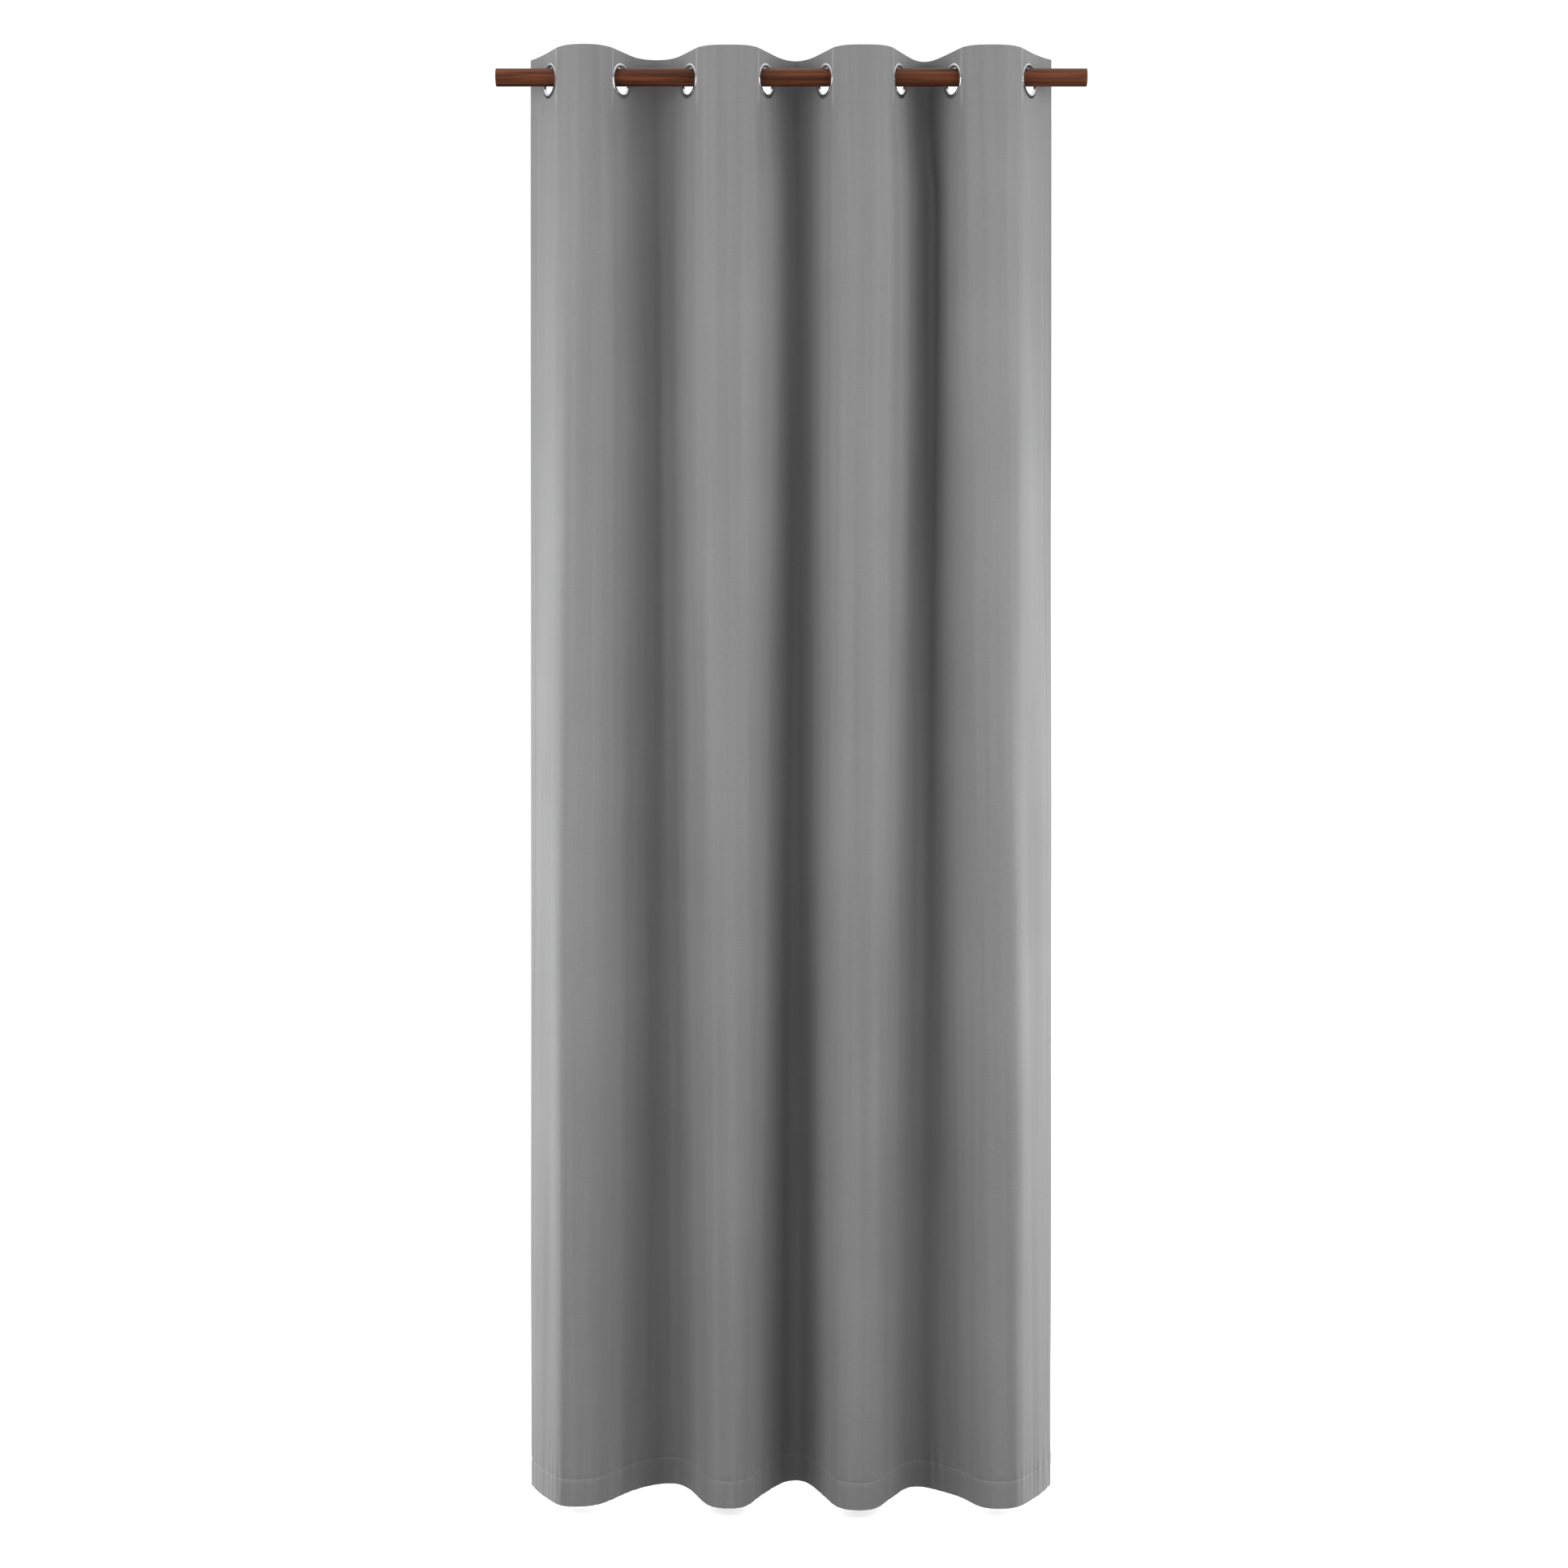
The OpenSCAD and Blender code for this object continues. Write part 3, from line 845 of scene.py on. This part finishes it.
def stained_wood(dark, light):
    """Red-brown stain over long grain, with end grain where the rod is sawn square."""
    made, nodes, shader = material("Stained wood")
    geometry = nodes.add("ShaderNodeNewGeometry")
    place = geometry.outputs["Position"]
    wear = nodes.add("ShaderNodeGroup", node_tree=fine_wear())
    nodes.tree.links.new(place, wear.inputs["Place"])
    wear.inputs["Size"].default_value = 0.5
    long_way = nodes.add("ShaderNodeMapping", {"Vector": place, "Scale": (3.2, 150.0, 150.0)})
    grain = nodes.add(
        "ShaderNodeTexNoise",
        {"Vector": long_way.outputs[0], "Scale": 1.0, "Detail": 5.0, "Distortion": 0.6},
    )
    streaks = nodes.ramp(
        grain.outputs["Fac"],
        ((0.36, dark), (0.5, tuple(mix(a, b, 0.45) for a, b in zip(dark, light))), (0.66, light)),
    )
    fine_way = nodes.add("ShaderNodeMapping", {"Vector": place, "Scale": (14.0, 900.0, 900.0)})
    fine = nodes.add("ShaderNodeTexNoise", {"Vector": fine_way.outputs[0], "Scale": 1.0, "Detail": 3.0})
    pores = nodes.ramp(fine.outputs["Fac"], ((0.34, (0.55, 0.5, 0.48)), (0.5, (1.0, 1.0, 1.0))))
    along = nodes.blend_colours("MULTIPLY", 0.8, streaks, pores)
    split = nodes.add("ShaderNodeSeparateXYZ", {"Vector": place})
    rings_way = nodes.add(
        "ShaderNodeCombineXYZ", {"X": 0.0, "Y": split.outputs["Y"], "Z": split.outputs["Z"]}
    )
    rings = nodes.add(
        "ShaderNodeTexWave",
        {"Vector": rings_way.outputs[0], "Scale": 170.0, "Distortion": 3.0, "Detail": 2.0},
        wave_type="RINGS",
    )
    end_grain = nodes.ramp(rings.outputs["Fac"], ((0.2, scaled(dark, 0.8)), (0.9, scaled(light, 0.9))))
    facing = nodes.add("ShaderNodeSeparateXYZ", {"Vector": geometry.outputs["Normal"]})
    end = nodes.math("GREATER_THAN", nodes.math("ABSOLUTE", facing.outputs["X"]), 0.7)
    nodes.tree.links.new(nodes.blend_colours("MIX", end, along, end_grain), shader.inputs["Base Color"])
    rough = nodes.add(
        "ShaderNodeMapRange",
        {
            "Value": wear.outputs["Smudges"],
            "From Min": 0.3,
            "From Max": 0.7,
            "To Min": 0.42,
            "To Max": 0.55,
        },
    )
    nodes.tree.links.new(rough.outputs[0], shader.inputs["Roughness"])
    shader.inputs["Specular IOR Level"].default_value = 0.22
    height = nodes.math("MULTIPLY_ADD", wear.outputs["Scratches"], 0.3, fine.outputs["Fac"])
    bump = nodes.add("ShaderNodeBump", {"Height": height, "Strength": 0.25, "Distance": 0.0002})
    nodes.tree.links.new(bump.outputs[0], shader.inputs["Normal"])
    return made


def paper_white():
    """Plain pale floor with a faint, slow unevenness. It throws less light up than it shows."""
    made, nodes, shader = material("Pale floor")
    place = nodes.add("ShaderNodeNewGeometry").outputs["Position"]
    cloud = nodes.add("ShaderNodeTexNoise", {"Vector": place, "Scale": 1.5, "Detail": 2.0})
    shade = nodes.ramp(cloud.outputs["Fac"], ((0.3, (0.93, 0.93, 0.93)), (0.7, (0.95, 0.95, 0.95))))
    nodes.tree.links.new(shade, shader.inputs["Base Color"])
    shader.inputs["Roughness"].default_value = 0.9
    shader.inputs["Specular IOR Level"].default_value = 0.1
    shader.inputs["Emission Color"].default_value = (1.0, 1.0, 1.0, 1.0)
    shader.inputs["Emission Strength"].default_value = 0.35
    seen = nodes.add("ShaderNodeLightPath").outputs["Is Camera Ray"]
    dim = nodes.add("ShaderNodeBsdfDiffuse", {"Color": (0.2, 0.2, 0.2, 1.0)})
    either = nodes.add("ShaderNodeMixShader", {0: seen, 1: dim.outputs[0], 2: shader.outputs[0]})
    surface = next(n for n in nodes.tree.nodes if n.bl_idname == "ShaderNodeOutputMaterial")
    nodes.tree.links.new(either.outputs[0], surface.inputs["Surface"])
    return made


def give(obj, finish):
    obj.data.materials.clear()
    obj.data.materials.append(finish)


# ---------------------------------------------------------------- operators


def part_name(what, k):
    """Name of part k: the flaps are left and right, the waves are numbered."""
    return f"{what}_left_flap" if k == 0 else f"{what}_right_flap" if k == EYELETS else f"{what}_wave_{k}"


def finish_named(name, make, *colours):
    """The finish, made the first time it is asked for."""
    return bpy.data.materials.get(name) or make(*(tuple(c) for c in colours))


class CURTAIN_OT_cloth(bpy.types.Operator):
    """Hang the cloth: seven waves between eight eyelets, and a flap at each side"""

    bl_idname = "curtain.cloth"
    bl_label = "Hang the cloth"

    def execute(self, context):
        sizes, finishes = context.scene.curtain_cloth, context.scene.curtain_finishes
        fall = Fall(sizes)
        satin = finish_named("Satin cloth", satin_cloth, finishes.cloth)
        rows = np.arange(len(fall.down))
        for k in range(EYELETS + 1):
            obj = sheet_mesh(part_name("cloth", k), fall, fall.part(k), rows, fall.face, fall.back)
            paint_fold_highlights(obj, fall, sizes)
            give(obj, satin)
            hang(obj, fall, k)
            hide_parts(f"pleat_{min(max(k, 1), EYELETS)}")
        return {"FINISHED"}


class CURTAIN_OT_tape(bpy.types.Operator):
    """Slip the stiff tape into the pocket of the heading"""

    bl_idname = "curtain.tape"
    bl_label = "Fit the heading tape"

    def execute(self, context):
        sizes, finishes = context.scene.curtain_cloth, context.scene.curtain_finishes
        fall = Fall(sizes)
        tape = finish_named("Heading tape", heading_tape, finishes.tape)
        low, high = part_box("tape_1")
        inside = (fall.down > fall.top - high.z) & (fall.down < fall.top - low.z)
        half = np.full(fall.face.shape, TAPE_SHARE * sizes.thickness)
        clear = 0.004  # the tape stops short of the side fold
        for k in range(EYELETS + 1):
            columns = fall.part(k)
            kept = (fall.across[columns] > clear) & (fall.across[columns] < sizes.flat_width - clear)
            obj = sheet_mesh(part_name("tape", k), fall, columns[kept], np.nonzero(inside)[0], -half, half)
            give(obj, tape)
            hang(obj, fall, k)
            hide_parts(f"tape_{min(max(k, 1), EYELETS)}")
        return {"FINISHED"}


class CURTAIN_OT_sewing(bpy.types.Operator):
    """Sew the heading, the bottom hem and the side hems"""

    bl_idname = "curtain.sewing"
    bl_label = "Sew the hems"

    def execute(self, context):
        sizes, finishes = context.scene.curtain_cloth, context.scene.curtain_finishes
        fall = Fall(sizes)
        thread = finish_named("Sewing thread", sewing_thread, finishes.cloth)
        for k in range(EYELETS + 1):
            points, faces = stitches(fall, seams_of(fall, sizes, k), sizes)
            mesh = bpy.data.meshes.new(part_name("stitches", k))
            mesh.from_pydata(points.tolist(), [], faces)
            mesh.shade_smooth()
            obj = bpy.data.objects.new(mesh.name, mesh)
            context.collection.objects.link(obj)
            give(obj, thread)
            hang(obj, fall, k)
        return {"FINISHED"}


class CURTAIN_OT_eyelets(bpy.types.Operator):
    """Plate the eyelets and round their sharp edges"""

    bl_idname = "curtain.eyelets"
    bl_label = "Finish the eyelets"

    def execute(self, context):
        plating = finish_named("Bright plating", plated_metal, context.scene.curtain_finishes.metal)
        for k in range(1, EYELETS + 1):
            for node in (f"ring_{k}", f"back_ring_{k}"):
                obj = frame["nodes"][node]
                give(obj, plating)
                obj.data.shade_smooth()
                edges = obj.modifiers.new("Soft edges", "BEVEL")
                edges.width, edges.segments, edges.limit_method = 0.00012, 2, "ANGLE"
                edges.angle_limit = math.radians(35)
        return {"FINISHED"}


class CURTAIN_OT_rod(bpy.types.Operator):
    """Stain the rod and ease the edges of its ends"""

    bl_idname = "curtain.rod"
    bl_label = "Finish the rod"

    def execute(self, context):
        finishes = context.scene.curtain_finishes
        obj = frame["nodes"]["rod"]
        give(obj, finish_named("Stained wood", stained_wood, finishes.wood_dark, finishes.wood_light))
        edges = obj.modifiers.new("Eased ends", "BEVEL")
        edges.width, edges.segments, edges.limit_method = 0.0008, 3, "ANGLE"
        edges.angle_limit = math.radians(50)
        return {"FINISHED"}


class CURTAIN_OT_stage(bpy.types.Operator):
    """Set up the floor, the soft light and the camera"""

    bl_idname = "curtain.stage"
    bl_label = "Set up the room"

    def execute(self, context):
        studio, scene = context.scene.curtain_studio, context.scene
        self.floor(context)
        self.sky(scene, studio)
        wide, narrow, beam = 1.7, 0.7, math.radians(84)
        for side, name in ((-1, "left"), (1, "right")):
            place = (side * 2.1, -1.45, -0.5)
            self.light(scene, f"Front light {name}", studio.front_light, wide, place)
            place = (side * 2.3, 1.1, -1.45)
            rim = self.light(scene, f"Rim light {name}", studio.rim_light, narrow, place)
            rim.data.spread = beam
            rim.visible_glossy = False
        tilt = math.radians(89.82)  # a hair below level
        camera = bpy.data.objects.new("Camera", bpy.data.cameras.new("Camera"))
        camera.location = (0, -studio.distance, -studio.eye_drop)
        camera.rotation_euler = (tilt, 0, 0)
        camera.data.lens, camera.data.sensor_width = studio.lens, 36.0
        camera.data.shift_x, camera.data.shift_y = -0.0047, -0.05
        scene.collection.objects.link(camera)
        scene.camera = camera
        scene.view_settings.view_transform = "Standard"
        return {"FINISHED"}

    def floor(self, context):
        """A wide round floor just under the hem"""
        gap, reach = 0.02, 14.0  # from the hem down to it, and its radius
        mesh = bmesh.new()
        low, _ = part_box("pleat_1")
        bmesh.ops.create_circle(mesh, cap_ends=True, segments=96, radius=reach)
        bmesh.ops.translate(mesh, verts=mesh.verts, vec=(0, 0, low.z - gap))
        made = bpy.data.meshes.new("Floor")
        mesh.to_mesh(made)
        mesh.free()
        obj = bpy.data.objects.new("Floor", made)
        context.collection.objects.link(obj)
        give(obj, finish_named("Pale floor", paper_white))

    def sky(self, scene, studio):
        """White light from all round, dimmer from the middle of the room. It shows as plain white, and
        gloss reflects it dark below and bright above."""
        scene.world = bpy.data.worlds.new("Room")
        scene.world.use_nodes = True
        tree = scene.world.node_tree
        tree.nodes.clear()
        nodes = Nodes(tree)
        round_about = nodes.add("ShaderNodeTexCoord").outputs["Generated"]
        way = nodes.add("ShaderNodeSeparateXYZ", {"Vector": round_about})
        round_it = nodes.add(
            "ShaderNodeMapRange",
            {
                "Value": way.outputs["Y"],
                "From Min": -0.95,
                "From Max": -0.5,
                "To Min": studio.sky * studio.shade,
                "To Max": studio.sky,
            },
            interpolation_type="SMOOTHSTEP",
        ).outputs[0]
        high = nodes.add(
            "ShaderNodeMapRange",
            {"Value": way.outputs["Z"], "From Min": 0.14, "From Max": 0.6, "To Min": 0.05, "To Max": 1.1},
            interpolation_type="SMOOTHSTEP",
        ).outputs[0]
        path = nodes.add("ShaderNodeLightPath")
        strength = round_it
        for ray, level in (("Is Glossy Ray", high), ("Is Camera Ray", 1.05)):
            strength = nodes.add(
                "ShaderNodeMapRange", {"Value": path.outputs[ray], "To Min": strength, "To Max": level}
            ).outputs[0]
        white = nodes.add("ShaderNodeBackground", {"Color": (1, 1, 1, 1), "Strength": strength})
        nodes.add("ShaderNodeOutputWorld", {"Surface": white.outputs[0]})

    def light(self, scene, name, power, width, place):
        """A tall soft light that faces the curtain, and a little down"""
        tall, droop = 2.4, 0.4
        light = bpy.data.lights.new(name, "AREA")
        light.shape, light.size, light.size_y = "RECTANGLE", width, tall
        light.energy = power
        obj = bpy.data.objects.new(name, light)
        obj.location = place
        aim = Vector((0, 0, place[2] - droop)) - obj.location
        obj.rotation_euler = aim.to_track_quat("-Z", "Y").to_euler()
        obj.visible_camera = False
        scene.collection.objects.link(obj)
        return obj


class CURTAIN_PT_panel(bpy.types.Panel):
    """Sizes and finishes of the curtain, and the steps that build it"""

    bl_idname = "CURTAIN_PT_panel"
    bl_label = "Eyelet Curtain Panel"
    bl_space_type = "VIEW_3D"
    bl_region_type = "UI"
    bl_category = "Curtain"

    def draw(self, context):
        layout = self.layout
        for settings in (
            context.scene.curtain_cloth,
            context.scene.curtain_finishes,
            context.scene.curtain_studio,
        ):
            box = layout.box()
            for name in settings.bl_rna.properties.keys():
                if name not in ("rna_type", "name"):
                    box.prop(settings, name)
        for operator in OPERATORS:
            layout.operator(operator.bl_idname)


SETTINGS = {"curtain_cloth": ClothSizes, "curtain_finishes": Finishes, "curtain_studio": Studio}
OPERATORS = (
    CURTAIN_OT_cloth,
    CURTAIN_OT_tape,
    CURTAIN_OT_sewing,
    CURTAIN_OT_eyelets,
    CURTAIN_OT_rod,
    CURTAIN_OT_stage,
)


def register():
    for name, settings in SETTINGS.items():
        bpy.utils.register_class(settings)
        setattr(bpy.types.Scene, name, bpy.props.PointerProperty(type=settings))
    for made in (*OPERATORS, CURTAIN_PT_panel):
        bpy.utils.register_class(made)


def unregister():
    for made in (CURTAIN_PT_panel, *reversed(OPERATORS)):
        bpy.utils.unregister_class(made)
    for name, settings in SETTINGS.items():
        delattr(bpy.types.Scene, name)
        bpy.utils.unregister_class(settings)


def main():
    register()
    bpy.ops.curtain.cloth()
    bpy.ops.curtain.tape()
    bpy.ops.curtain.sewing()
    bpy.ops.curtain.eyelets()
    bpy.ops.curtain.rod()
    bpy.ops.curtain.stage()


if __name__ == "__main__":
    main()
